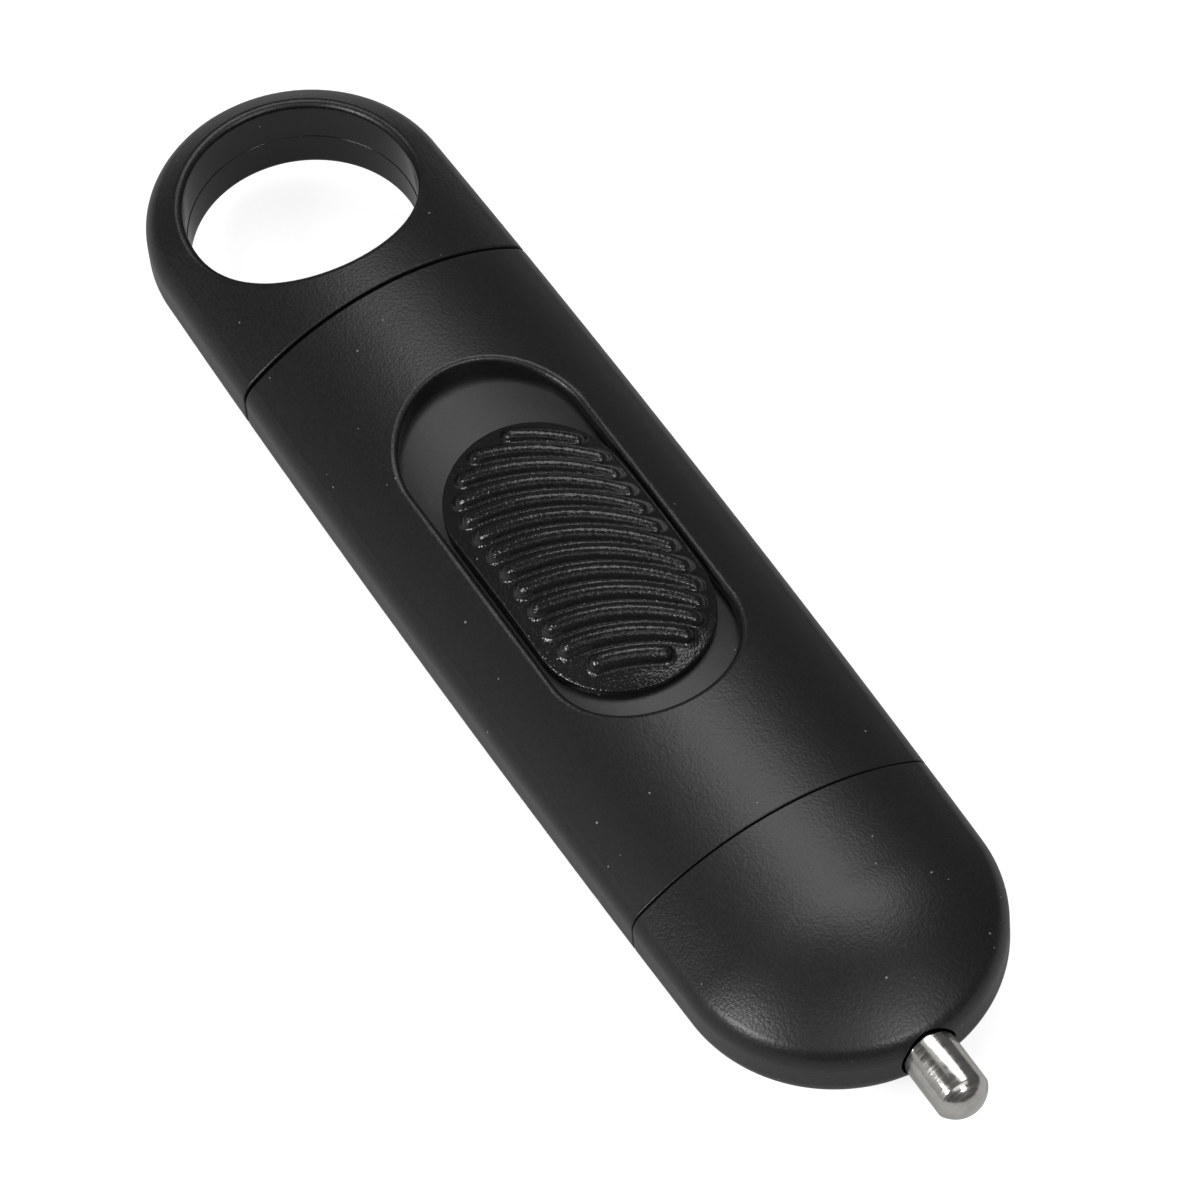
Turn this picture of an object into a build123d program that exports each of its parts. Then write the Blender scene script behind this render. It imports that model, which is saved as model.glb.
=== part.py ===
from build123d import *
from math import sqrt
import os

os.makedirs("parts", exist_ok=True)

# Security tag detacher: an oval three-shell grip with a finger ring at one end and a
# sprung steel pin at the other, worked by a ribbed thumb slider.
# Millimetres. X runs from the ring to the nose, Z is up through the thumb slider.
# The origin is the centre of the ring hole, on the mid-plane. Drawn with the pin out.

# ---- Driving dimensions: the grip -----------------------------------------------------
nose_centre_x = 89.5          # centre of the round nose
belly_x = 44.75               # station where the grip is measured between its two ends
belly_half_width = 15.0
ring_narrowing = 0.75         # per side, from the belly to the centre of the ring
nose_narrowing = 0.3          # per side, from the belly to the centre of the nose
belly_half_height = 7.92
ring_thinning = 0.56
nose_thinning = 0.72
underside_flat = 0.37         # taken off the crown of the underside, so the grip lies still
edge_half_height = 2.35       # half the height of the side, where the crowned faces meet it
edge_radius = 2.5             # rounding between a crowned face and the side
inner_corner = 0.15           # the same rounding deep inside the shells
shell_wall = 2.0
ring_hole_radius = 10.65
ring_rim_radius = 0.6

ring_seam_x = 14.5
ring_seam_gap = 0.35
ring_seam_edge = 0.15         # rounding of the shells' edges at the seam
nose_seam_x = 80.8
nose_seam_gap = 0.15
nose_seam_edge = 0.1
spigot_clearance = 0.1        # spigot of a cap inside the sleeve, per side
spigot_wall = 1.6
nose_wall = 2.2

# ---- Driving dimensions: the thumb recess and the slider ------------------------------
recess_rear_x = 34.6          # centres of the two round ends of the recess
recess_front_x = 58.4
recess_half_width = 8.65
recess_floor_z = 5.6
recess_floor_crown = 40.0     # radius of the crowned recess floor
recess_rim_radius = 0.5
recess_wall = 1.5

travel = 7.0                  # stroke of the slider, the carriage and the pin
slider_side_gap = 0.4
slider_front_gap = 3.1        # recess left free in front of the plate, pin out
slider_rear_gap = 0.3         # recess left free behind the plate, pin in
slider_top_z = 8.8
slider_crown_across = 20.0    # the domed top of the plate has one radius across the grip
slider_crown_along = 60.0     # and a larger one along it
slider_edge_radius = 0.3
rib_height = 0.45
rib_width = 1.25
rib_pitch = 2.31
rib_count = 13
rib_arc_radius = 30.6
rib_arc_forward = 26.1        # centre of the middle rib's arc, from the middle of the plate
rib_arc_aside = 14.6
rib_field_radius = 6.8        # round ends of the ribbed field
rib_field_back = 0.3          # the field sits this far behind the middle of the plate

stem_length = 10.0
stem_width = 4.6
stem_leg = 2.2                # thickness of a snap leg
stem_barb = 0.5
stem_solid_z = 1.6            # the stem is one block above this height, two legs below it
stem_foot_z = -1.8
barb_height = 1.2

# ---- Driving dimensions: pin, magnets, carriage ---------------------------------------
pin_radius = 2.5
pin_reach = 5.0               # length of the working end past the nose, up to its dome
pin_relief_radius = 2.25      # shallow groove that parts the working end from the shank
pin_relief_length = 1.6
pin_relief_depth = 0.2        # the groove is this far inside the nose, pin out
pin_dome_height = 1.6
pin_groove_radius = 1.8
pin_groove_length = 2.0
pin_tail_length = 3.1         # from the pin's back face to its groove
retaining_ring_radius = 2.9
retaining_ring_mouth = 2.9    # width of the opening in the C
magnet_thickness = 3.0
pole_plate_thickness = 1.5

carriage_half_width = 9.0
carriage_top_z = 2.6
carriage_side_z = -2.2        # below this height the keel slopes inward
carriage_keel_half_width = 6.0
carriage_bottom_z = -3.8
carriage_nose_wall = 2.7
socket_wall = 2.8             # between the spring pocket and the stem socket
magnet_wall = 1.4             # between the stem socket and the magnet trough
cover_top_z = 3.4
cover_bottom_z = 0.9
cover_half_width = 5.4
cover_front_margin = 0.6      # cover past the pin's groove
cover_rear_margin = 0.45      # cover behind the magnet trough
cover_screw_y = 4.1

# ---- Driving dimensions: chassis, rods, spring, stops ---------------------------------
chassis_clearance = 0.15      # chassis inside the sleeve
chassis_top_z = 2.2
bulkhead_rear_length = 4.2
bulkhead_front_length = 3.0
rod_radius = 1.0
rod_y = 7.2
rod_rear_cover = 1.7          # bulkhead left behind the rear end of a rod
rod_front_cover = 0.425       # rod end to the front face of the front bulkhead
spring_wire = 0.5
spring_mean_radius = 2.35
spring_turns = 9
spring_pocket_depth = 5.0
spring_rod_radius = 1.5
spring_rod_seat = 2.1         # length of the rod held in the bulkhead
spring_rod_reach = 6.5        # free length of the rod in front of the bulkhead
bumper_rear = 1.7
bumper_front = 1.5
stop_gap = 0.3                # left at each end of the stroke
cap_gap = 0.3                 # between the chassis and the spigots of the caps

# ---- Driving dimensions: nose bearing and screws --------------------------------------
bush_radius = 4.0
bush_length = 10.0
bush_flange_radius = 4.8
bush_flange = 1.0
wiper_length = 1.8
boss_wall = 1.5
nose_web = 5.0                # nose material in front of the bush
pin_exit_gap = 0.2

screw_radius = 1.0
screw_head_radius = 1.9
screw_head_height = 1.0
screw_sink = 0.2              # screw heads sit this far below the underside
screw_boss_radius = 2.2
screw_boss_foot = 2.8         # bosses start this far above a screw's head
screw_boss_cover = 0.4        # boss left above the end of a screw
cross_span = 2.6              # cross recess in a screw head
cross_slot = 0.45
cross_depth = 0.7
ring_screw_length = 6.5
nose_screw_length = 4.0
cover_screw_radius = 0.7
cover_screw_head_radius = 1.15
cover_screw_head = 0.6
cover_screw_length = 4.6
cover_cross_span = 1.15
cover_cross_slot = 0.4
cover_cross_depth = 0.3
bulkhead_screw_inset = 4.1    # from the widest part of the grip's side to a screw's axis
bulkhead_screw_radius = 0.7
bulkhead_screw_head_radius = 1.3
bulkhead_screw_length = 8.0

# ---- Fits -----------------------------------------------------------------------------
running_fit = 0.04            # radial, a moving shaft in its bore
wiper_fit = 0.08              # radial, the shank in the wiper
seat_fit = 0.02               # radial, a shaft seated in a fixed bore
slide_gap = 0.3               # moving block to fixed wall
pocket_gap = 0.1              # piece dropped into a moulded pocket
cut_margin = 1.0              # cutters run this far past what they cut
cut_height = 20.0             # a cutter this tall clears the whole grip

# ---- Sizes and stations that follow from the values above ------------------------------
ring_half_width = belly_half_width - ring_narrowing
nose_half_width = belly_half_width - nose_narrowing
bulkhead_screw_y = belly_half_width - bulkhead_screw_inset
ring_half_height = belly_half_height - ring_thinning
nose_half_height = belly_half_height - nose_thinning
rest_z = underside_flat - belly_half_height
nose_tip_x = nose_centre_x + nose_half_width
recess_rear_end = recess_rear_x - recess_half_width
recess_front_end = recess_front_x + recess_half_width
slider_half_width = recess_half_width - slider_side_gap
slider_front_end = recess_front_end - slider_front_gap
slider_rear_end = recess_rear_end + slider_rear_gap + travel
slider_x = (slider_front_end + slider_rear_end) / 2
slider_spread = (slider_front_end - slider_rear_end) / 2 - slider_half_width

stem_rear_x = slider_x - stem_length / 2
stem_front_x = slider_x + stem_length / 2
spring_seat_x = stem_rear_x - pocket_gap - socket_wall
carriage_rear_x = spring_seat_x - spring_pocket_depth
trough_x = stem_front_x + pocket_gap + magnet_wall
rear_magnet_x = trough_x + pole_plate_thickness
front_magnet_x = rear_magnet_x + magnet_thickness
pin_back_x = front_magnet_x + magnet_thickness
groove_x = pin_back_x + pin_tail_length
groove_end_x = groove_x + pin_groove_length
carriage_front_x = groove_end_x + carriage_nose_wall
cover_rear_x = trough_x - cover_rear_margin
cover_front_x = groove_end_x + cover_front_margin
relief_front_x = nose_tip_x - pin_relief_depth
relief_rear_x = relief_front_x - pin_relief_length
pin_shoulder_x = nose_tip_x + pin_reach

front_bulkhead_x = carriage_front_x + stop_gap + bumper_front
chassis_front_x = front_bulkhead_x + bulkhead_front_length
rear_bulkhead_x = carriage_rear_x - travel - stop_gap - bumper_rear
chassis_rear_x = rear_bulkhead_x - bulkhead_rear_length
ring_spigot_x = chassis_rear_x - cap_gap
nose_spigot_x = chassis_front_x + cap_gap

cavity_inset = shell_wall
spigot_inset = shell_wall + spigot_clearance
spigot_bore_inset = spigot_inset + spigot_wall
chassis_inset = shell_wall + chassis_clearance
bush_front_x = nose_tip_x - nose_web
bush_rear_x = bush_front_x - bush_length
wiper_x = bush_front_x - wiper_length


# ---- Shared shapes --------------------------------------------------------------------
def swell(x, ring, belly, nose):
    # Smooth barrel through the three measured stations of the grip.
    near_ring = ring * (x - belly_x) * (x - nose_centre_x) / (belly_x * nose_centre_x)
    near_belly = belly * x * (x - nose_centre_x) / (belly_x * (belly_x - nose_centre_x))
    near_nose = nose * x * (x - belly_x) / (nose_centre_x * (nose_centre_x - belly_x))
    return near_ring + near_belly + near_nose


def half_width(x):
    return swell(x, ring_half_width, belly_half_width, nose_half_width)


def half_height(x):
    return swell(x, ring_half_height, belly_half_height, nose_half_height)


def oval(x, inset=0.0, half=False):
    # Section of the grip at x: two crowned arcs and two short sides, moved in by inset.
    wide, tall = half_width(x), half_height(x)
    rise = tall - edge_half_height
    crown = (wide**2 + rise**2) / (2 * rise)
    crown_centre = tall - crown
    wide, tall, crown = wide - inset, tall - inset, crown - inset
    edge = crown_centre + sqrt(crown**2 - wide**2)
    with BuildSketch(Plane.YZ.offset(x)) as section:
        with BuildLine():
            top = ThreePointArc((wide, edge), (0, tall), (-wide, edge))
            left = Line(top @ 1, (-wide, -edge))
            bottom = ThreePointArc(left @ 1, (0, -tall), (wide, -edge))
            Line(bottom @ 1, top @ 0)
        make_face()
        fillet(section.vertices(), max(edge_radius - inset, inner_corner))
        if half:
            with Locations((-wide, 0)):
                Rectangle(2 * wide, cut_height, mode=Mode.SUBTRACT)
    return section.sketch


def ovals(start, end, inset=0.0):
    return [oval(x, inset) for x in (start, (start + end) / 2, end)]


def stadium(radius, spread):
    # Two round ends of this radius, their centres spread apart along X.
    SlotCenterToCenter(2 * spread, 2 * radius)


def rod_along_x(radius, start, end, y=0.0, z=0.0):
    with BuildPart() as rod:
        with BuildSketch(Plane.YZ.offset(start)):
            with Locations((y, z)):
                Circle(radius)
        extrude(amount=end - start)
    return rod.part


def save(piece, name):
    piece.label = name
    export_step(piece, f"parts/{name}.step")


def screw_head_z(x):
    return screw_sink + max(rest_z, -half_height(x))


def underside_screw(x, length):
    # Countersunk screw that enters the underside at x, its head just below the surface.
    head_z = screw_head_z(x)
    with BuildPart() as screw:
        with BuildSketch(Plane.XZ):
            with BuildLine():
                Polyline(
                    (x, head_z),
                    (x + screw_head_radius, head_z),
                    (x + screw_radius, head_z + screw_head_height),
                    (x + screw_radius, head_z + length),
                    (x, head_z + length),
                    close=True,
                )
            make_face()
        revolve(axis=Axis((x, 0, 0), (0, 0, 1)))
        with BuildSketch(Plane.XY.offset(head_z)):
            with Locations((x, 0)):
                Rectangle(cross_span, cross_slot)
                Rectangle(cross_slot, cross_span)
        extrude(amount=cross_depth, mode=Mode.SUBTRACT)
    return screw.part


def underside_hole(x, length, clearance):
    # The hole that such a screw sits in.
    head_z = screw_head_z(x)
    with BuildPart() as hole:
        with BuildSketch(Plane.XZ):
            with BuildLine():
                Polyline(
                    (x, head_z - cut_margin),
                    (x + screw_head_radius + clearance, head_z - cut_margin),
                    (x + screw_head_radius + clearance, head_z),
                    (x + screw_radius + clearance, head_z + screw_head_height),
                    (x + screw_radius + clearance, head_z + length + clearance),
                    (x, head_z + length + clearance),
                    close=True,
                )
            make_face()
        revolve(axis=Axis((x, 0, 0), (0, 0, 1)))
    return hole.part


def screw_boss(x, length):
    # Post inside a cap's spigot that such a screw bites into.
    with BuildPart() as boss:
        with BuildSketch(Plane.XY.offset(screw_head_z(x) + screw_boss_foot)):
            with Locations((x, 0)):
                Circle(screw_boss_radius)
        extrude(amount=length + screw_boss_cover - screw_boss_foot)
    return boss.part


with BuildPart() as underside_cut:
    with BuildSketch(Plane.XY.offset(rest_z)):
        with Locations((belly_x, 0)):
            Rectangle(2 * nose_tip_x, 4 * belly_half_width)
    extrude(amount=-cut_margin)

ring_screw_x = (ring_seam_x + ring_spigot_x) / 2
nose_screw_x = (nose_seam_x + nose_spigot_x) / 2
ring_screw_hole = underside_hole(ring_screw_x, ring_screw_length, seat_fit)
nose_screw_hole = underside_hole(nose_screw_x, nose_screw_length, seat_fit)

# ---- Ring cap -------------------------------------------------------------------------
ring_grip = ovals(0, ring_seam_x)
ring_end = oval(0, half=True)
ring_spigot = ovals(ring_seam_x - cut_margin, ring_spigot_x, spigot_inset)
ring_spigot_bore = ovals(ring_seam_x, ring_spigot_x + cut_margin, spigot_bore_inset)

with BuildPart() as ring_cap:
    loft(sections=ring_grip)
    revolve(ring_end, axis=Axis.Z, revolution_arc=180)
    loft(sections=ring_spigot)
    loft(sections=ring_spigot_bore, mode=Mode.SUBTRACT)
    add(screw_boss(ring_screw_x, ring_screw_length))
    add(ring_screw_hole, mode=Mode.SUBTRACT)
    add(underside_cut.part, mode=Mode.SUBTRACT)
    Cylinder(ring_hole_radius, cut_height, mode=Mode.SUBTRACT)
    rim = ring_cap.edges(Select.LAST).filter_by(GeomType.LINE, reverse=True)
    fillet(rim.sort_by(Axis.Y), ring_rim_radius)  # in a fixed order, so that every build is alike
    shoulder = ring_cap.faces().filter_by_position(Axis.X, ring_seam_x, ring_seam_x)[0]
    fillet(shoulder.outer_wire().edges(), ring_seam_edge)
save(ring_cap.part, "ring_cap")

# ---- Sleeve ---------------------------------------------------------------------------
sleeve_rear_x = ring_seam_x + ring_seam_gap
sleeve_front_x = nose_seam_x - nose_seam_gap
sleeve_outside = ovals(sleeve_rear_x, sleeve_front_x)
sleeve_inside = ovals(sleeve_rear_x - cut_margin, sleeve_front_x + cut_margin, cavity_inset)
recess_spread = (recess_front_x - recess_rear_x) / 2
recess_x = (recess_front_x + recess_rear_x) / 2
floor_axis_z = recess_floor_z - recess_floor_crown
slot_rear_x = stem_rear_x - travel - slide_gap
slot_front_x = stem_front_x + slide_gap
slot_width = stem_width + 2 * slide_gap

with BuildPart() as cavity:
    loft(sections=sleeve_inside)
    with BuildSketch(Plane.XY):
        with Locations((recess_x, 0)):
            stadium(recess_half_width + recess_wall, recess_spread)
    extrude(amount=cut_height, mode=Mode.SUBTRACT)
with BuildPart() as under_recess:
    with BuildSketch(Plane.XY):
        with Locations((recess_x, 0)):
            stadium(recess_half_width + recess_wall, recess_spread)
    extrude(amount=cut_height)
    add(rod_along_x(recess_floor_crown - recess_wall, 0, nose_centre_x, z=floor_axis_z), mode=Mode.INTERSECT)

with BuildPart() as recess:
    with BuildSketch(Plane.XY):
        with Locations((recess_x, 0)):
            stadium(recess_half_width, recess_spread)
    extrude(amount=cut_height)
    add(rod_along_x(recess_floor_crown, 0, nose_centre_x, z=floor_axis_z), mode=Mode.SUBTRACT)

with BuildPart() as sleeve:
    loft(sections=sleeve_outside)
    fillet(sleeve.faces().sort_by(Axis.X)[0].edges(), ring_seam_edge)
    fillet(sleeve.faces().sort_by(Axis.X)[-1].edges(), nose_seam_edge)
    add(cavity.part, mode=Mode.SUBTRACT)
    add(under_recess.part, mode=Mode.SUBTRACT)
    add(recess.part, mode=Mode.SUBTRACT)
    rim = sleeve.edges(Select.LAST).filter_by(lambda edge: edge.center().Z > recess_floor_z + recess_rim_radius)
    fillet(rim.sort_by(Axis.X), recess_rim_radius)
    with BuildSketch(Plane.XY):
        with Locations(((slot_rear_x + slot_front_x) / 2, 0)):
            Rectangle(slot_front_x - slot_rear_x, slot_width)
    extrude(amount=cut_height, mode=Mode.SUBTRACT)
    add(ring_screw_hole, mode=Mode.SUBTRACT)
    add(nose_screw_hole, mode=Mode.SUBTRACT)
    add(underside_cut.part, mode=Mode.SUBTRACT)
save(sleeve.part, "sleeve")

# ---- Nose cap -------------------------------------------------------------------------
nose_grip = ovals(nose_seam_x, nose_centre_x)
nose_end = oval(nose_centre_x, half=True)
nose_spigot = ovals(nose_spigot_x, nose_seam_x + cut_margin, spigot_inset)
nose_spigot_bore = ovals(nose_spigot_x - cut_margin, nose_seam_x + nose_wall, spigot_bore_inset)
nose_hollow = ovals(nose_seam_x + nose_wall, nose_centre_x, nose_wall)
nose_hollow_end = oval(nose_centre_x, nose_wall, half=True)
nose_axis = Axis((nose_centre_x, 0, 0), (0, 0, -1))
boss_rear_x = bush_rear_x - bush_flange
nose_outline_end = nose_tip_x + cut_margin

with BuildPart() as nose_solid:
    loft(sections=nose_grip)
    revolve(nose_end, axis=nose_axis, revolution_arc=180)
    fillet(nose_solid.faces().sort_by(Axis.X)[0].edges(), nose_seam_edge)

with BuildPart() as nose_boss:
    add(rod_along_x(bush_radius + boss_wall, boss_rear_x, nose_outline_end))
    add(nose_solid.part, mode=Mode.INTERSECT)

with BuildPart() as nose_cap:
    add(nose_solid.part)
    loft(sections=nose_spigot)
    loft(sections=nose_spigot_bore, mode=Mode.SUBTRACT)
    loft(sections=nose_hollow, mode=Mode.SUBTRACT)
    revolve(nose_hollow_end, axis=nose_axis, revolution_arc=180, mode=Mode.SUBTRACT)
    add(nose_boss.part)
    add(rod_along_x(bush_flange_radius + pocket_gap, boss_rear_x, bush_rear_x), mode=Mode.SUBTRACT)
    add(rod_along_x(bush_radius + seat_fit, boss_rear_x, bush_front_x), mode=Mode.SUBTRACT)
    add(rod_along_x(pin_radius + pin_exit_gap, boss_rear_x, nose_outline_end), mode=Mode.SUBTRACT)
    add(screw_boss(nose_screw_x, nose_screw_length))
    add(nose_screw_hole, mode=Mode.SUBTRACT)
    add(underside_cut.part, mode=Mode.SUBTRACT)
save(nose_cap.part, "nose_cap")

save(underside_screw(ring_screw_x, ring_screw_length), "ring_cap_screw")
save(underside_screw(nose_screw_x, nose_screw_length), "nose_cap_screw")

# ---- Thumb slider ---------------------------------------------------------------------
rib_middle_x = slider_x + rib_arc_forward


def dome(rise):
    # Everything under the domed top of the plate, raised by rise.
    top_z = slider_top_z + rise
    crown = slider_crown_across + rise
    wide = slider_half_width + cut_margin
    side_z = top_z - crown + sqrt(crown**2 - wide**2)
    with BuildPart() as under:
        with BuildSketch(Plane.YZ.offset(slider_x)):
            with BuildLine():
                crest = ThreePointArc((-wide, side_z), (0, top_z), (wide, side_z))
                Polyline(crest @ 1, (wide, 0), (-wide, 0), crest @ 0)
            make_face()
        revolve(axis=Axis((slider_x, 0, slider_top_z - slider_crown_along), (0, 1, 0)))
    return under.part


with BuildSketch() as rib_field:
    with Locations((slider_x - rib_field_back, 0)):
        stadium(rib_field_radius, slider_spread)

with BuildSketch(Plane.XY) as rib_plan:
    for rib in range(rib_count):
        centre_x = rib_middle_x + (rib - rib_count // 2) * rib_pitch
        ring = Edge.make_circle(rib_arc_radius, Plane((centre_x, -rib_arc_aside, 0)))
        for arc in ring.intersect(rib_field.face()) or []:
            SlotArc(arc, rib_width)

with BuildPart() as ribs:
    add(rib_plan.sketch)
    extrude(amount=cut_height)
    add(dome(rib_height), mode=Mode.INTERSECT)

with BuildPart() as thumb_slider:
    with BuildSketch(Plane.XY):
        with Locations((slider_x, 0)):
            stadium(slider_half_width, slider_spread)
    extrude(amount=cut_height)
    add(dome(0), mode=Mode.INTERSECT)
    top = thumb_slider.faces().sort_by(Axis.Z)[-1]
    fillet(top.edges(), slider_edge_radius)
    add(ribs.part)
    underside = rod_along_x(recess_floor_crown + slide_gap, 0, nose_centre_x, z=floor_axis_z)
    add(underside, mode=Mode.SUBTRACT)
    with BuildSketch(Plane.XY.offset(stem_solid_z)):
        with Locations((slider_x, 0)):
            Rectangle(stem_length, stem_width)
    extrude(amount=recess_floor_z + cut_margin - stem_solid_z)
    with BuildSketch(Plane.XY.offset(stem_foot_z)):
        for leg_x in (stem_rear_x + stem_leg / 2, stem_front_x - stem_leg / 2):
            with Locations((leg_x, 0)):
                Rectangle(stem_leg, stem_width)
    extrude(amount=stem_solid_z - stem_foot_z)
    with BuildSketch(Plane.XY.offset(stem_foot_z)):
        for barb_x in (stem_rear_x, stem_front_x):
            with Locations((barb_x, 0)):
                Rectangle(2 * stem_barb, stem_width)
    extrude(amount=barb_height)
save(thumb_slider.part, "thumb_slider")

# ---- Carriage, its cover, the pin, its retaining ring and the magnets ------------------
def carriage_section(x, gap=0.0):
    # Keel-shaped section of the carriage at x, grown by gap for the channel it runs in.
    with BuildSketch(Plane.YZ.offset(x)) as section:
        with BuildLine():
            Polyline(
                (-carriage_half_width, carriage_top_z),
                (-carriage_half_width, carriage_side_z),
                (-carriage_keel_half_width, carriage_bottom_z),
                (carriage_keel_half_width, carriage_bottom_z),
                (carriage_half_width, carriage_side_z),
                (carriage_half_width, carriage_top_z),
                close=True,
            )
        make_face()
        if gap:
            offset(amount=gap, kind=Kind.INTERSECTION)
    return section.sketch


cover_pocket_rear_x = cover_rear_x - pocket_gap
cover_pocket_front_x = cover_front_x + pocket_gap
cover_screw_x = (trough_x + pin_back_x) / 2
trough_radius = pin_radius + running_fit

spring_pocket_radius = spring_mean_radius + spring_wire / 2 + slide_gap
ring_slot = rod_along_x(retaining_ring_radius + pocket_gap, groove_x, groove_end_x)

with BuildPart() as carriage:
    extrude(carriage_section(carriage_rear_x), amount=carriage_front_x - carriage_rear_x)
    with BuildSketch(Plane.XY.offset(stem_foot_z - slide_gap)):
        with Locations((slider_x, 0)):
            Rectangle(stem_length + 2 * pocket_gap, stem_width + 2 * pocket_gap)
    extrude(amount=cut_height, mode=Mode.SUBTRACT)
    with BuildSketch(Plane.XY.offset(stem_foot_z - slide_gap)):
        with Locations((slider_x, 0)):
            Rectangle(stem_length + 2 * (stem_barb + pocket_gap), stem_width + 2 * pocket_gap)
    extrude(amount=barb_height + slide_gap + pocket_gap, mode=Mode.SUBTRACT)
    add(rod_along_x(spring_pocket_radius, carriage_rear_x, spring_seat_x), mode=Mode.SUBTRACT)
    add(rod_along_x(trough_radius, trough_x, carriage_front_x), mode=Mode.SUBTRACT)
    with BuildSketch(Plane.XY):
        with Locations(((trough_x + groove_x) / 2, 0)):
            Rectangle(groove_x - trough_x, 2 * trough_radius)
    extrude(amount=cut_height, mode=Mode.SUBTRACT)
    with BuildSketch(Plane.XY.offset(cover_bottom_z)):
        with Locations(((cover_pocket_rear_x + cover_pocket_front_x) / 2, 0)):
            Rectangle(cover_pocket_front_x - cover_pocket_rear_x, 2 * (cover_half_width + pocket_gap))
    extrude(amount=cut_height, mode=Mode.SUBTRACT)
    add(ring_slot, mode=Mode.SUBTRACT)
    for side in (-1, 1):
        rod_bore = rod_along_x(rod_radius + running_fit, carriage_rear_x, carriage_front_x, y=side * rod_y)
        add(rod_bore, mode=Mode.SUBTRACT)
    with BuildSketch(Plane.XY.offset(cover_top_z - cover_screw_length - seat_fit)):
        with Locations((cover_screw_x, -cover_screw_y), (cover_screw_x, cover_screw_y)):
            Circle(cover_screw_radius + seat_fit)
    extrude(amount=cover_screw_length, mode=Mode.SUBTRACT)
save(carriage.part, "carriage")

with BuildPart() as magnet_cover:
    with BuildSketch(Plane.XY.offset(cover_bottom_z)):
        with Locations(((cover_rear_x + cover_front_x) / 2, 0)):
            Rectangle(cover_front_x - cover_rear_x, 2 * cover_half_width)
    extrude(amount=cover_top_z - cover_bottom_z)
    add(rod_along_x(trough_radius, trough_x, cover_front_x), mode=Mode.SUBTRACT)
    add(ring_slot, mode=Mode.SUBTRACT)
    with Locations((cover_screw_x, -cover_screw_y, cover_top_z), (cover_screw_x, cover_screw_y, cover_top_z)):
        CounterBoreHole(
            cover_screw_radius + seat_fit,
            cover_screw_head_radius + seat_fit,
            cover_screw_head,
        )
save(magnet_cover.part, "magnet_cover")

with BuildPart() as cover_screws:
    with BuildSketch(Plane.XY.offset(cover_top_z - cover_screw_head)):
        with Locations((cover_screw_x, -cover_screw_y), (cover_screw_x, cover_screw_y)):
            Circle(cover_screw_head_radius)
    extrude(amount=cover_screw_head)
    with BuildSketch(Plane.XY.offset(cover_top_z - cover_screw_length)):
        with Locations((cover_screw_x, -cover_screw_y), (cover_screw_x, cover_screw_y)):
            Circle(cover_screw_radius)
    extrude(amount=cover_screw_length)
    with BuildSketch(Plane.XY.offset(cover_top_z)):
        with Locations((cover_screw_x, -cover_screw_y), (cover_screw_x, cover_screw_y)):
            Rectangle(cover_cross_span, cover_cross_slot)
            Rectangle(cover_cross_slot, cover_cross_span)
    extrude(amount=-cover_cross_depth, mode=Mode.SUBTRACT)
save(cover_screws.part, "cover_screws")

dome_radius = (pin_radius**2 + pin_dome_height**2) / (2 * pin_dome_height)
dome_mid = pin_dome_height / 2
dome_mid_radius = sqrt(dome_radius**2 - (dome_radius - dome_mid) ** 2)
pin_tip_x = pin_shoulder_x + pin_dome_height

with BuildPart() as detaching_pin:
    with BuildSketch(Plane.XZ):
        with BuildLine():
            tail = Polyline(
                (pin_back_x, 0),
                (pin_back_x, pin_radius),
                (groove_x, pin_radius),
                (groove_x, pin_groove_radius),
                (groove_end_x, pin_groove_radius),
                (groove_end_x, pin_radius),
                (relief_rear_x, pin_radius),
                (relief_rear_x, pin_relief_radius),
                (relief_front_x, pin_relief_radius),
                (relief_front_x, pin_radius),
                (pin_shoulder_x, pin_radius),
            )
            tip = ThreePointArc(tail @ 1, (pin_tip_x - dome_mid, dome_mid_radius), (pin_tip_x, 0))
            Line(tip @ 1, tail @ 0)
        make_face()
    revolve(axis=Axis.X)
save(detaching_pin.part, "detaching_pin")

with BuildPart() as retaining_ring:
    with BuildSketch(Plane.YZ.offset(groove_x + pocket_gap)):
        Circle(retaining_ring_radius)
        Circle(pin_groove_radius + seat_fit, mode=Mode.SUBTRACT)
        with Locations((0, -retaining_ring_radius)):
            Rectangle(retaining_ring_mouth, 2 * retaining_ring_radius, mode=Mode.SUBTRACT)
    extrude(amount=pin_groove_length - 2 * pocket_gap)
save(retaining_ring.part, "retaining_ring")

save(rod_along_x(pin_radius, front_magnet_x, pin_back_x), "front_magnet")
save(rod_along_x(pin_radius, rear_magnet_x, front_magnet_x), "rear_magnet")
save(rod_along_x(pin_radius, trough_x, rear_magnet_x), "pole_plate")

# ---- Chassis, front bulkhead and guide rods --------------------------------------------
chassis_outside = ovals(chassis_rear_x, front_bulkhead_x, chassis_inset)
bulkhead_outside = ovals(front_bulkhead_x, chassis_front_x, chassis_inset)
rod_rear_x = chassis_rear_x + rod_rear_cover
rod_front_x = chassis_front_x - rod_front_cover
spring_rod_rear_x = rear_bulkhead_x - spring_rod_seat

channel = carriage_section(rear_bulkhead_x, slide_gap)
channel_length = front_bulkhead_x + cut_margin - rear_bulkhead_x

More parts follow.
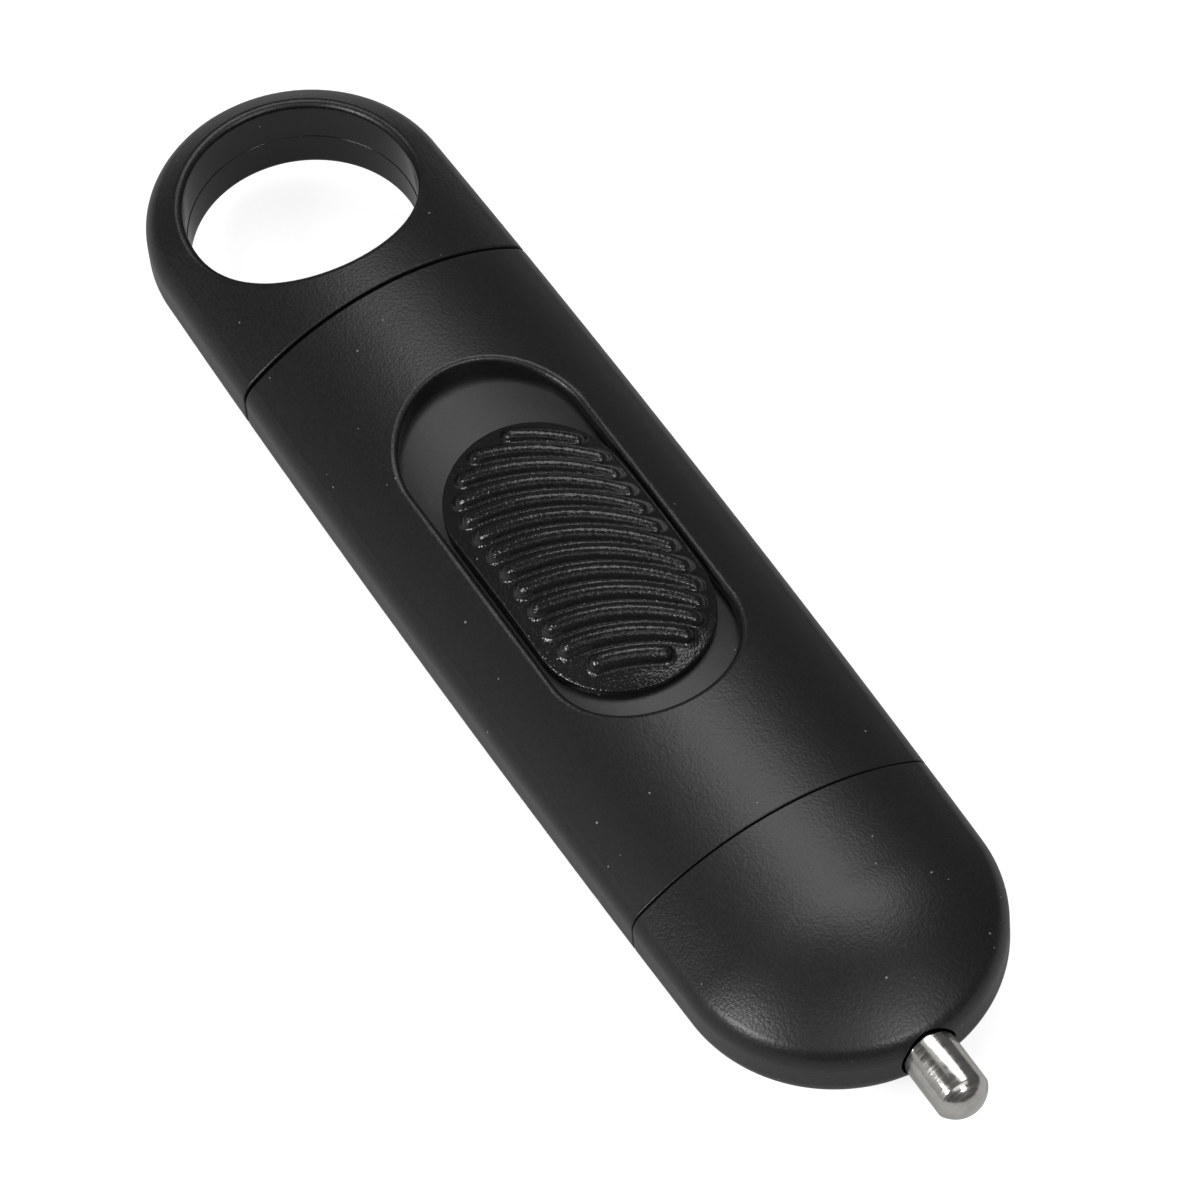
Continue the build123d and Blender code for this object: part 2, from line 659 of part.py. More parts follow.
with BuildPart() as chassis:
    loft(sections=chassis_outside)
    with BuildSketch(Plane.XY.offset(chassis_top_z)):
        with Locations(((chassis_rear_x + front_bulkhead_x) / 2, 0)):
            Rectangle(2 * (front_bulkhead_x - chassis_rear_x), 4 * belly_half_width)
    extrude(amount=cut_height, mode=Mode.SUBTRACT)
    extrude(channel, amount=channel_length, mode=Mode.SUBTRACT)
    for side in (-1, 1):
        rod_hole = rod_along_x(rod_radius + seat_fit, rod_rear_x, front_bulkhead_x, y=side * rod_y)
        add(rod_hole, mode=Mode.SUBTRACT)
        screw_hole = rod_along_x(
            bulkhead_screw_radius + seat_fit,
            chassis_front_x - bulkhead_screw_length,
            front_bulkhead_x + cut_margin,
            y=side * bulkhead_screw_y,
        )
        add(screw_hole, mode=Mode.SUBTRACT)
    add(rod_along_x(spring_rod_radius + seat_fit, spring_rod_rear_x, rear_bulkhead_x), mode=Mode.SUBTRACT)
save(chassis.part, "chassis")

with BuildPart() as front_bulkhead:
    loft(sections=bulkhead_outside)
    pin_hole = rod_along_x(pin_radius + slide_gap, front_bulkhead_x, chassis_front_x)
    add(pin_hole, mode=Mode.SUBTRACT)
    for side in (-1, 1):
        rod_hole = rod_along_x(rod_radius + seat_fit, front_bulkhead_x, rod_front_x, y=side * rod_y)
        add(rod_hole, mode=Mode.SUBTRACT)
    with Locations(Plane.YZ.offset(chassis_front_x)):
        with Locations((-bulkhead_screw_y, 0), (bulkhead_screw_y, 0)):
            CounterSinkHole(
                bulkhead_screw_radius + seat_fit,
                bulkhead_screw_head_radius + seat_fit,
            )
save(front_bulkhead.part, "front_bulkhead")

with BuildPart() as bulkhead_screws:
    for side in (-1, 1):
        screw_axis = Axis((chassis_front_x, side * bulkhead_screw_y, 0), (-1, 0, 0))
        head_drop = bulkhead_screw_head_radius - bulkhead_screw_radius
        with BuildSketch(Plane.XY):
            with BuildLine():
                Polyline(
                    (chassis_front_x, side * bulkhead_screw_y),
                    (chassis_front_x, side * (bulkhead_screw_y + bulkhead_screw_head_radius)),
                    (chassis_front_x - head_drop, side * (bulkhead_screw_y + bulkhead_screw_radius)),
                    (
                        chassis_front_x - bulkhead_screw_length,
                        side * (bulkhead_screw_y + bulkhead_screw_radius),
                    ),
                    (chassis_front_x - bulkhead_screw_length, side * bulkhead_screw_y),
                    close=True,
                )
            make_face()
        revolve(axis=screw_axis)
save(bulkhead_screws.part, "bulkhead_screws")

save(rod_along_x(rod_radius, rod_rear_x, rod_front_x, y=-rod_y), "guide_rod_right")
save(rod_along_x(rod_radius, rod_rear_x, rod_front_x, y=rod_y), "guide_rod_left")

# ---- Spring, its rod and the stops ------------------------------------------------------
spring_rod_front_x = rear_bulkhead_x + spring_rod_reach
save(rod_along_x(spring_rod_radius, spring_rod_rear_x, spring_rod_front_x), "spring_rod")

coil_start_x = rear_bulkhead_x + spring_wire / 2 + running_fit
coil_end_x = spring_seat_x - spring_wire / 2 - running_fit
coil_height = coil_end_x - coil_start_x
coil = Helix(coil_height / spring_turns, coil_height, spring_mean_radius, (coil_start_x, 0, 0), (1, 0, 0))
with BuildPart() as return_spring:
    with BuildSketch(Plane(coil @ 0, z_dir=coil % 0)):
        Circle(spring_wire / 2)
    sweep(path=coil)
save(return_spring.part, "return_spring")

with BuildPart() as rear_bumper:
    with BuildSketch(Plane.YZ.offset(rear_bulkhead_x)):
        Circle(-carriage_bottom_z)
        Circle(spring_pocket_radius, mode=Mode.SUBTRACT)
    extrude(amount=bumper_rear)
save(rear_bumper.part, "rear_bumper")

with BuildPart() as front_bumper:
    with BuildSketch(Plane.YZ.offset(front_bulkhead_x)):
        Circle(-carriage_bottom_z)
        Circle(pin_radius + slide_gap, mode=Mode.SUBTRACT)
    extrude(amount=-bumper_front)
save(front_bumper.part, "front_bumper")

# ---- Nose bearing ----------------------------------------------------------------------
with BuildPart() as pin_bush:
    add(rod_along_x(bush_radius, bush_rear_x - bush_flange, wiper_x))
    add(rod_along_x(bush_flange_radius, bush_rear_x - bush_flange, bush_rear_x))
    add(rod_along_x(pin_radius + running_fit, boss_rear_x, nose_outline_end), mode=Mode.SUBTRACT)
save(pin_bush.part, "pin_bush")

with BuildPart() as pin_wiper:
    add(rod_along_x(bush_radius, wiper_x, bush_front_x))
    add(rod_along_x(pin_radius + wiper_fit, boss_rear_x, nose_outline_end), mode=Mode.SUBTRACT)
save(pin_wiper.part, "pin_wiper")
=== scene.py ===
import bmesh
import bpy
import math
from mathutils import Matrix, Vector


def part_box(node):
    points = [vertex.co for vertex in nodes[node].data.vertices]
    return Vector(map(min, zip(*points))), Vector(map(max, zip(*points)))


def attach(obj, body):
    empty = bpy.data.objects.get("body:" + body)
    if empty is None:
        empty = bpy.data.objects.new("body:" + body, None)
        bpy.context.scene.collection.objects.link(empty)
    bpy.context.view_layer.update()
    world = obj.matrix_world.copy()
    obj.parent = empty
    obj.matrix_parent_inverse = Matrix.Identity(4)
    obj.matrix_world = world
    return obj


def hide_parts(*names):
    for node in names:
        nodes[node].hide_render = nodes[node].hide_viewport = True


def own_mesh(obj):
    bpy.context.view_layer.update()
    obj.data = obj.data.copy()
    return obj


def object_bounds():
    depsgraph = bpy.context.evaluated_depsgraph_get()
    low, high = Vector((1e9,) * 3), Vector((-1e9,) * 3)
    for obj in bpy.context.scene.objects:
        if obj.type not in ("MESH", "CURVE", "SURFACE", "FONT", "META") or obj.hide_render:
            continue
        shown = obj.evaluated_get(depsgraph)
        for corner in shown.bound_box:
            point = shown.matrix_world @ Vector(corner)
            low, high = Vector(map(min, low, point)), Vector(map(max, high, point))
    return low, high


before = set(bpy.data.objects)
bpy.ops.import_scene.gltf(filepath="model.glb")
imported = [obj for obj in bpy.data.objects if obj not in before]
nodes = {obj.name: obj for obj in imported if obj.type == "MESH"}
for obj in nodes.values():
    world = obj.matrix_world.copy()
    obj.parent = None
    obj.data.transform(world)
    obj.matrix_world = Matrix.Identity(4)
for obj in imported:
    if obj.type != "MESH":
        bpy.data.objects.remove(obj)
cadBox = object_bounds()
mm = 0.001  # every size below is in millimetres and is turned to metres with this
white = (1, 1, 1, 1)


def linearColour(hexText):
    channels = []
    for start in (0, 2, 4):
        value = int(hexText[start:start + 2], 16) / 255
        channels.append(value / 12.92 if value <= 0.04045 else ((value + 0.055) / 1.055) ** 2.4)
    return (*channels, 1.0)


def addNode(tree, kind, settings=None, links=None):
    # one node, its settings by socket or property name, and what feeds its sockets
    node = tree.nodes.new(kind)
    for name, value in (settings or {}).items():
        if isinstance(name, str) and hasattr(node, name):
            setattr(node, name, value)
        else:
            node.inputs[name].default_value = value
    for name, source in (links or {}).items():
        tree.links.new(source, node.inputs[name])
    return node


# sockets of a colour mix, which share their names with those for numbers
firstColour, secondColour, mixedColour = 6, 7, 2


def newMaterial(name):
    material = bpy.data.materials.new(name)
    material.use_nodes = True
    material.node_tree.nodes.clear()
    return material, material.node_tree


def dress(nodeName, material):
    # a carried-over node keeps its mesh and gets a better finish
    for holder in nodes[nodeName].material_slots:
        holder.material = material


def direction(azimuth, elevation):
    # degrees, from +X towards +Y and then upwards
    azimuth, elevation = math.radians(azimuth), math.radians(elevation)
    return Vector((
        math.cos(elevation) * math.cos(azimuth),
        math.cos(elevation) * math.sin(azimuth),
        math.sin(elevation),
    ))


camera = {
    "azimuth": -26.435,
    "elevation": 55.561,
    "roll": -6.112,
    "distance": 691.69,      # millimetres from the point aimed at
    "aim": (49.599, 0.974, 0.0),
    "lens": 238.11,          # millimetres, on a square sensor
    "sensor": 36,
    "clip": (0.01, 20),      # metres
}


def placeCamera(values):
    azimuth, roll = math.radians(values["azimuth"]), math.radians(values["roll"])
    back = direction(values["azimuth"], values["elevation"])
    level = Vector((-math.sin(azimuth), math.cos(azimuth), 0))
    steep = back.cross(level)
    right = math.cos(roll) * level + math.sin(roll) * steep
    up = back.cross(right)
    data = bpy.data.cameras.new("camera")
    data.lens = values["lens"]
    data.sensor_width = values["sensor"]
    data.clip_start, data.clip_end = values["clip"]
    holder = bpy.data.objects.new("camera", data)
    bpy.context.scene.collection.objects.link(holder)
    turn = Matrix((right, up, back)).transposed().to_4x4()
    place = (Vector(values["aim"]) + back * values["distance"]) * mm
    holder.matrix_world = Matrix.Translation(place) @ turn
    bpy.context.scene.camera = holder


placeCamera(camera)
print("camera placed")

studio = {
    "floorSize": 6.0,         # metres
    "floorGap": 0.02,         # a hair below the part, so that paper and plastic never share a plane
    "floorWhite": "c0c0c0",
    "floorGlow": 0.80,        # seen by the camera, on top of the lamps' light
    "floorMirror": 0.10,      # the same, seen in reflections
    "roomLight": 0.115,       # what the room around the lamps gives
    "aim": (45, 0, 0),
    # lamp: azimuth, elevation, distance in metres, width, height, watts
    "lamps": {
        "overheadSoftbox": (137, 65, 0.9, 0.62, 0.36, 2.35),
        "frontSoftbox": (-86, 37, 0.8, 0.28, 0.17, 2.9),
        "noseSoftbox": (8, 41, 0.8, 0.16, 0.14, 1.1),
        "cameraSideFill": (2, 57, 0.9, 0.95, 0.32, 0.95),
        "ringSideFill": (-165, 66, 0.9, 0.40, 0.30, 0.20),
        "leftCard": (-105, 14, 0.9, 1.20, 0.36, 0.45),
    },
}


def buildFloor(values):
    middle, height = values["aim"][0] * mm, cadBox[0][2] - values["floorGap"] * mm
    bpy.ops.mesh.primitive_plane_add(size=values["floorSize"], location=(middle, 0, height))
    floor = bpy.context.object
    floor.name = "floor"
    bpy.ops.object.transform_apply(location=True, rotation=False, scale=False)
    material, tree = newMaterial("floorPaper")
    rays = addNode(tree, "ShaderNodeLightPath")
    seen = addNode(tree, "ShaderNodeMath", {"operation": "MAXIMUM"},
                   {0: rays.outputs["Is Camera Ray"], 1: rays.outputs["Is Transmission Ray"]})
    direct = addNode(tree, "ShaderNodeMath", {"operation": "MULTIPLY", 1: values["floorGlow"]},
                     {0: seen.outputs[0]})
    strength = addNode(tree, "ShaderNodeMath",
                       {"operation": "MULTIPLY_ADD", 1: values["floorMirror"]},
                       {0: rays.outputs["Is Glossy Ray"], 2: direct.outputs[0]})
    paper = addNode(tree, "ShaderNodeBsdfDiffuse", {"Color": linearColour(values["floorWhite"])})
    glow = addNode(tree, "ShaderNodeEmission", {"Color": white}, {"Strength": strength.outputs[0]})
    both = addNode(tree, "ShaderNodeAddShader", None, {0: paper.outputs[0], 1: glow.outputs[0]})
    addNode(tree, "ShaderNodeOutputMaterial", None, {"Surface": both.outputs[0]})
    floor.data.materials.append(material)


def buildRoom(values):
    world = bpy.data.worlds.new("room")
    world.use_nodes = True
    tree = world.node_tree
    tree.nodes.clear()
    rays = addNode(tree, "ShaderNodeLightPath")
    dim = addNode(tree, "ShaderNodeBackground", {"Color": white, "Strength": values["roomLight"]})
    backdrop = addNode(tree, "ShaderNodeBackground", {"Color": white, "Strength": 1.0})
    either = addNode(tree, "ShaderNodeMixShader", None,
                     {0: rays.outputs["Is Camera Ray"], 1: dim.outputs[0], 2: backdrop.outputs[0]})
    addNode(tree, "ShaderNodeOutputWorld", None, {"Surface": either.outputs[0]})
    bpy.context.scene.world = world


def hangLamps(values):
    aim = Vector(values["aim"]) * mm
    for name, (azimuth, elevation, distance, width, height, watts) in values["lamps"].items():
        toLamp = direction(azimuth, elevation)
        data = bpy.data.lights.new(name, "AREA")
        data.shape = "RECTANGLE"
        data.size = width
        data.size_y = height
        data.energy = watts
        lamp = bpy.data.objects.new(name, data)
        lamp.rotation_euler = toLamp.to_track_quat("Z", "Y").to_euler()
        lamp.location = aim + toLamp * distance
        bpy.context.scene.collection.objects.link(lamp)


buildFloor(studio)
buildRoom(studio)
hangLamps(studio)
bpy.context.scene.view_settings.view_transform = "Standard"
print("floor, room and lamps ready")

gripAbs = {
    # black ABS from a spark-eroded mould: satin and pebbled, with a little dust from use;
    # the pebbles of the real grain are finer, and are drawn this coarse so that they show
    "colour": "111112",
    "pebbleTop": "1b1b1c",    # the tops are rubbed a little lighter
    "dust": "8c8a86",
    "roughness": 0.36,
    "polished": 0.14,         # roughness of the wall of the ring's hole
    "refraction": 1.53,
    "holeReach": 10.72,       # the wall of the ring's hole lies within this radius
    "recessMiddle": 2.9,      # the recess's floor and the slot lie round this height
    "recessReach": 2.8,
    "pebble": 0.28,           # millimetres from one pebble to the next
    "pebbleDepth": 0.024,
    "pebbleSpan": (0.35, 0.65),
    "waviness": 2.6,          # slow unevenness of the moulding
    "wavinessDepth": 0.010,
    "dustSpacing": 1.3,
    "dustShare": 0.34,        # share of the places that hold a speck
    "dustSize": 0.085,
}
sliderAbs = gripAbs | {
    # the same plastic from a coarser mould face, a little polished by thumbs
    "roughness": 0.17, "pebble": 0.22, "pebbleDepth": 0.050, "dustShare": 0.12,
}


def makeAbs(name, values, polished=None):
    # polished names the part of a shell that the mould leaves without pebbles
    material, tree = newMaterial(name)
    place = addNode(tree, "ShaderNodeTexCoord").outputs["Object"]
    inMm = addNode(tree, "ShaderNodeVectorMath", {"operation": "SCALE", "Scale": 1 / mm},
                   {0: place}).outputs[0]
    pebbles = addNode(tree, "ShaderNodeTexNoise",
                      {"Scale": 1 / values["pebble"], "Detail": 1.5, "Roughness": 0.5},
                      {"Vector": inMm})
    waves = addNode(tree, "ShaderNodeTexNoise",
                    {"Scale": 1 / values["waviness"], "Detail": 1.0}, {"Vector": inMm})
    fine = addNode(tree, "ShaderNodeBump",
                   {"Strength": 1.0, "Distance": values["pebbleDepth"] * mm},
                   {"Height": pebbles.outputs["Fac"]})
    if polished == "hole":
        flat = addNode(tree, "ShaderNodeVectorMath", {"operation": "MULTIPLY", 1: (1, 1, 0)},
                       {0: inMm})
        reach = addNode(tree, "ShaderNodeVectorMath", {"operation": "LENGTH"},
                        {0: flat.outputs[0]})
        pebbled = addNode(tree, "ShaderNodeMath",
                          {"operation": "GREATER_THAN", 1: values["holeReach"]},
                          {0: reach.outputs["Value"]})
        tree.links.new(pebbled.outputs[0], fine.inputs["Strength"])
    elif polished == "recess":
        axes = addNode(tree, "ShaderNodeSeparateXYZ", None, {0: inMm})
        off = addNode(tree, "ShaderNodeMath", {"operation": "SUBTRACT", 1: values["recessMiddle"]},
                      {0: axes.outputs["Z"]})
        away = addNode(tree, "ShaderNodeMath", {"operation": "ABSOLUTE"}, {0: off.outputs[0]})
        pebbled = addNode(tree, "ShaderNodeMath",
                          {"operation": "GREATER_THAN", 1: values["recessReach"]},
                          {0: away.outputs[0]})
        tree.links.new(pebbled.outputs[0], fine.inputs["Strength"])
    broad = addNode(tree, "ShaderNodeBump",
                    {"Strength": 1.0, "Distance": values["wavinessDepth"] * mm},
                    {"Height": waves.outputs["Fac"], "Normal": fine.outputs[0]})
    # a speck of dust sits only where a cell's own number is high, and is larger the higher it is
    cells = addNode(tree, "ShaderNodeTexVoronoi", {"Scale": 1 / values["dustSpacing"]},
                    {"Vector": inMm})
    number = addNode(tree, "ShaderNodeSeparateColor", None, {0: cells.outputs["Color"]})
    above = addNode(tree, "ShaderNodeMath", {"operation": "SUBTRACT", 1: 1 - values["dustShare"]},
                    {0: number.outputs[0]})
    reachOut = addNode(tree, "ShaderNodeMath",
                       {"operation": "MULTIPLY", 1: values["dustSize"] / values["dustShare"]},
                       {0: above.outputs[0]})
    isDust = addNode(tree, "ShaderNodeMath", {"operation": "LESS_THAN"},
                     {0: cells.outputs["Distance"], 1: reachOut.outputs[0]})
    low, high = values["pebbleSpan"]
    rubbed = addNode(tree, "ShaderNodeMapRange", {"From Min": low, "From Max": high},
                     {"Value": pebbles.outputs["Fac"]})
    plastic = addNode(tree, "ShaderNodeMix",
                      {"data_type": "RGBA", firstColour: linearColour(values["colour"]),
                       secondColour: linearColour(values["pebbleTop"])},
                      {"Factor": rubbed.outputs[0]})
    colour = addNode(tree, "ShaderNodeMix",
                     {"data_type": "RGBA", secondColour: linearColour(values["dust"])},
                     {"Factor": isDust.outputs[0], firstColour: plastic.outputs[mixedColour]})
    shader = addNode(tree, "ShaderNodeBsdfPrincipled",
                     {"Roughness": values["roughness"], "IOR": values["refraction"]},
                     {"Base Color": colour.outputs[mixedColour], "Normal": broad.outputs[0]})
    if polished == "hole":
        gloss = addNode(tree, "ShaderNodeMapRange",
                        {"To Min": values["polished"], "To Max": values["roughness"]},
                        {"Value": pebbled.outputs[0]})
        tree.links.new(gloss.outputs[0], shader.inputs["Roughness"])
    addNode(tree, "ShaderNodeOutputMaterial", None, {"Surface": shader.outputs[0]})
    return material


turnedSteel = {
    # stainless steel turned on a lathe: fine rings round the shaft, a few worn spots on its end
    "colour": "dedcd7",
    "worn": "b4b1ab",
    "roughness": (0.10, 0.26),
    "ring": 0.16,             # millimetres between tool marks, drawn coarse enough to show
    "ringRun": 5.0,           # how far a mark runs round the shaft before it fades
    "ringDepth": 0.004,
    "ringSpan": (0.35, 0.65),
    "wearSpacing": 1.1,
    "wearDepth": 0.02,
}


def makeTurnedSteel(name, values):
    material, tree = newMaterial(name)
    place = addNode(tree, "ShaderNodeTexCoord").outputs["Object"]
    inMm = addNode(tree, "ShaderNodeVectorMath", {"operation": "SCALE", "Scale": 1 / mm},
                   {0: place}).outputs[0]
    along, across = 1 / values["ring"], 1 / values["ringRun"]
    alongMarks = addNode(tree, "ShaderNodeVectorMath",
                         {"operation": "MULTIPLY", 1: (along, across, across)}, {0: inMm})
    marks = addNode(tree, "ShaderNodeTexNoise", {"Scale": 1.0, "Detail": 3.0, "Roughness": 0.6},
                    {"Vector": alongMarks.outputs[0]})
    wear = addNode(tree, "ShaderNodeTexNoise", {"Scale": 1 / values["wearSpacing"], "Detail": 3.0},
                   {"Vector": inMm})
    low, high = values["ringSpan"]
    smooth, rough = values["roughness"]
    gloss = addNode(tree, "ShaderNodeMapRange",
                    {"From Min": low, "From Max": high, "To Min": smooth, "To Max": rough},
                    {"Value": marks.outputs["Fac"]})
    colour = addNode(tree, "ShaderNodeMix",
                     {"data_type": "RGBA", firstColour: linearColour(values["colour"]),
                      secondColour: linearColour(values["worn"])},
                     {"Factor": wear.outputs["Fac"]})
    rings = addNode(tree, "ShaderNodeBump", {"Strength": 1.0, "Distance": values["ringDepth"] * mm},
                    {"Height": marks.outputs["Fac"]})
    dents = addNode(tree, "ShaderNodeBump", {"Strength": 1.0, "Distance": values["wearDepth"] * mm},
                    {"Height": wear.outputs["Fac"], "Normal": rings.outputs[0]})
    shader = addNode(tree, "ShaderNodeBsdfPrincipled", {"Metallic": 1.0},
                     {"Base Color": colour.outputs[mixedColour], "Roughness": gloss.outputs[0],
                      "Normal": dents.outputs[0]})
    addNode(tree, "ShaderNodeOutputMaterial", None, {"Surface": shader.outputs[0]})
    return material


innerFinishes = {
    # colour, second colour, metallic, roughness, grain in mm (along, across), depth
    # glass fibres show as short streaks
    "filledNylon": ("2b2c2e", "3a3b3d", 0, 0.48, (1.6, 0.22), 0.010),
    # centreless ground, faint rings
    "groundSteel": ("b9bab9", "a4a5a5", 1, 0.22, (0.08, 2.5), 0.002),
    # drawn wire, lines along it
    "musicWire": ("6c6d6d", "575858", 1, 0.30, (2.0, 0.10), 0.003),
    # bright zinc plating, slightly cloudy
    "zincScrew": ("a9adb0", "8d9194", 1, 0.32, (0.30, 0.30), 0.004),
    # black zinc on the outside screws
    "blackScrew": ("26272a", "34363a", 1, 0.38, (0.25, 0.25), 0.004),
    # nickel over sintered magnet
    "nickelPlate": ("c4bfb4", "b3ada1", 1, 0.18, (0.6, 0.6), 0.002),
    # oil-filled, open pores
    "sinteredBronze": ("a97c4b", "7d5a36", 1, 0.46, (0.16, 0.16), 0.012),
    # nitrile rubber, matt
    "stopRubber": ("1a1a1a", "262626", 0, 0.78, (0.35, 0.35), 0.020),
}
innerSpan = {"grain": (0.3, 0.7), "gloss": (0.8, 1.2)}
finishOf = {
    "chassis": "filledNylon", "front_bulkhead": "filledNylon", "carriage": "filledNylon",
    "magnet_cover": "filledNylon",
    "guide_rod_left": "groundSteel", "guide_rod_right": "groundSteel", "spring_rod": "groundSteel",
    "retaining_ring": "musicWire", "bulkhead_screws": "zincScrew",
    "cover_screws": "zincScrew", "ring_cap_screw": "blackScrew", "nose_cap_screw": "blackScrew",
    "front_magnet": "nickelPlate", "rear_magnet": "nickelPlate", "pole_plate": "nickelPlate",
    "pin_bush": "sinteredBronze", "pin_wiper": "stopRubber", "rear_bumper": "stopRubber",
    "front_bumper": "stopRubber",
}


def makeInner(name, values):
    first, second, metallic, roughness, (along, across), depth = values
    material, tree = newMaterial(name)
    place = addNode(tree, "ShaderNodeTexCoord").outputs["Object"]
    lengthwise, sideways = 1 / (along * mm), 1 / (across * mm)
    stretched = addNode(tree, "ShaderNodeVectorMath",
                        {"operation": "MULTIPLY", 1: (lengthwise, sideways, sideways)}, {0: place})
    grain = addNode(tree, "ShaderNodeTexNoise", {"Scale": 1.0, "Detail": 3.0, "Roughness": 0.6},
                    {"Vector": stretched.outputs[0]})
    colour = addNode(tree, "ShaderNodeMix",
                     {"data_type": "RGBA", firstColour: linearColour(first),
                      secondColour: linearColour(second)},
                     {"Factor": grain.outputs["Fac"]})
    low, high = innerSpan["grain"]
    smooth, rough = innerSpan["gloss"]
    gloss = addNode(tree, "ShaderNodeMapRange",
                    {"From Min": low, "From Max": high,
                     "To Min": roughness * smooth, "To Max": roughness * rough},
                    {"Value": grain.outputs["Fac"]})
    bump = addNode(tree, "ShaderNodeBump", {"Strength": 1.0, "Distance": depth * mm},
                   {"Height": grain.outputs["Fac"]})
    shader = addNode(tree, "ShaderNodeBsdfPrincipled", {"Metallic": float(metallic)},
                     {"Base Color": colour.outputs[mixedColour], "Roughness": gloss.outputs[0],
                      "Normal": bump.outputs[0]})
    addNode(tree, "ShaderNodeOutputMaterial", None, {"Surface": shader.outputs[0]})
    return material


capMaterial = makeAbs("ringAbs", gripAbs, "hole")
dress("ring_cap", capMaterial)
dress("sleeve", makeAbs("sleeveAbs", gripAbs, "recess"))
dress("nose_cap", makeAbs("noseAbs", gripAbs))
sliderMaterial = makeAbs("sliderAbs", sliderAbs)
steelMaterial = makeTurnedSteel("turnedSteel", turnedSteel)
innerMaterials = {name: makeInner(name, values) for name, values in innerFinishes.items()}
for nodeName, finish in finishOf.items():
    dress(nodeName, innerMaterials[finish])
print("finishes ready")


def selectOnly(piece=None):
    # leaves edit mode, so that a new primitive joins nothing, and selects one piece or none
    if bpy.context.mode != "OBJECT":
        bpy.ops.object.mode_set(mode="OBJECT")
    bpy.ops.object.select_all(action="DESELECT")
    if piece:
        piece.select_set(True)
        bpy.context.view_layer.objects.active = piece


def pick(kind, test):
    # in edit mode, selects the verts, edges or faces that pass a test
    bpy.ops.mesh.select_all(action="DESELECT")
    bpy.context.tool_settings.mesh_select_mode = (kind == "verts", kind == "edges", kind == "faces")
    mesh = bmesh.from_edit_mesh(bpy.context.edit_object.data)
    for item in getattr(mesh, kind):
        item.select_set(test(item))
    mesh.select_flush_mode()
    bmesh.update_edit_mesh(bpy.context.edit_object.data)


def applyModifier(piece, kind, **settings):
    modifier = piece.modifiers.new(kind.lower(), kind)
    for key, value in settings.items():
        setattr(modifier, key, value)
    bpy.context.view_layer.objects.active = piece
    bpy.ops.object.modifier_apply(modifier=modifier.name)


def finishPiece(piece, name, material, body, node):
    # place and turn go into the mesh, then the piece is tied to its body and the CAD node it stands
    # for is hidden
    selectOnly(piece)
    bpy.ops.object.transform_apply(location=True, rotation=True, scale=True)
    piece.name = name
    piece.data.name = name
    piece.data.materials.clear()
    piece.data.materials.append(material)
    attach(piece, body)
    if node:
        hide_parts(node)
    print(name, "done,", len(piece.data.polygons), "faces")


thumbSlider = {
    "middle": 48.4,          # along the grip
    "halfWidth": 8.25,
    "spread": 7.1,           # from the middle to the centre of each round end
    "top": 8.45,
    "underside": 5.9,
    "domeAcross": 20.0,
    "domeAlong": 60.0,
    "undersideDome": 40.3,
    "rimWidth": 0.6,         # the edge of the plate stays crisp over this width
    "ribs": 13,
    "ribPitch": 2.31,
    "ribArc": 30.6,          # every rib is part of a ring this large
    "ribArcForward": 26.1,
    "ribArcAside": 14.6,
    "ribEnds": 6.55,         # the ribs stay within this distance of a line through both round ends
    "ribsBack": 0.3,         # that line lies this far behind the middle, and this far to one side
    "ribsAside": 0.25,
    "beadRadius": 0.82,
    "beadSunk": 0.02,        # how far a bead's axis is under the plate's top
    "voxel": 0.14,
    "stem": (43.6, 53.6, 4.6, 1.6),   # rear, front, width, foot of its solid part
    "leg": (2.2, -1.8, 0.5, 1.2),     # thickness, foot, barb and the barb's height
    "stemIntoPlate": 0.5,
    "legIntoStem": 0.2,
    "sides": 128,
    "beadSides": 20,
    "beadSteps": 48,
    "ballRings": 12,
    "triesPerDegree": 10,             # how finely a rib's ends are looked for
    "smoothAll": 1,
    "smoothRibs": 7,
}


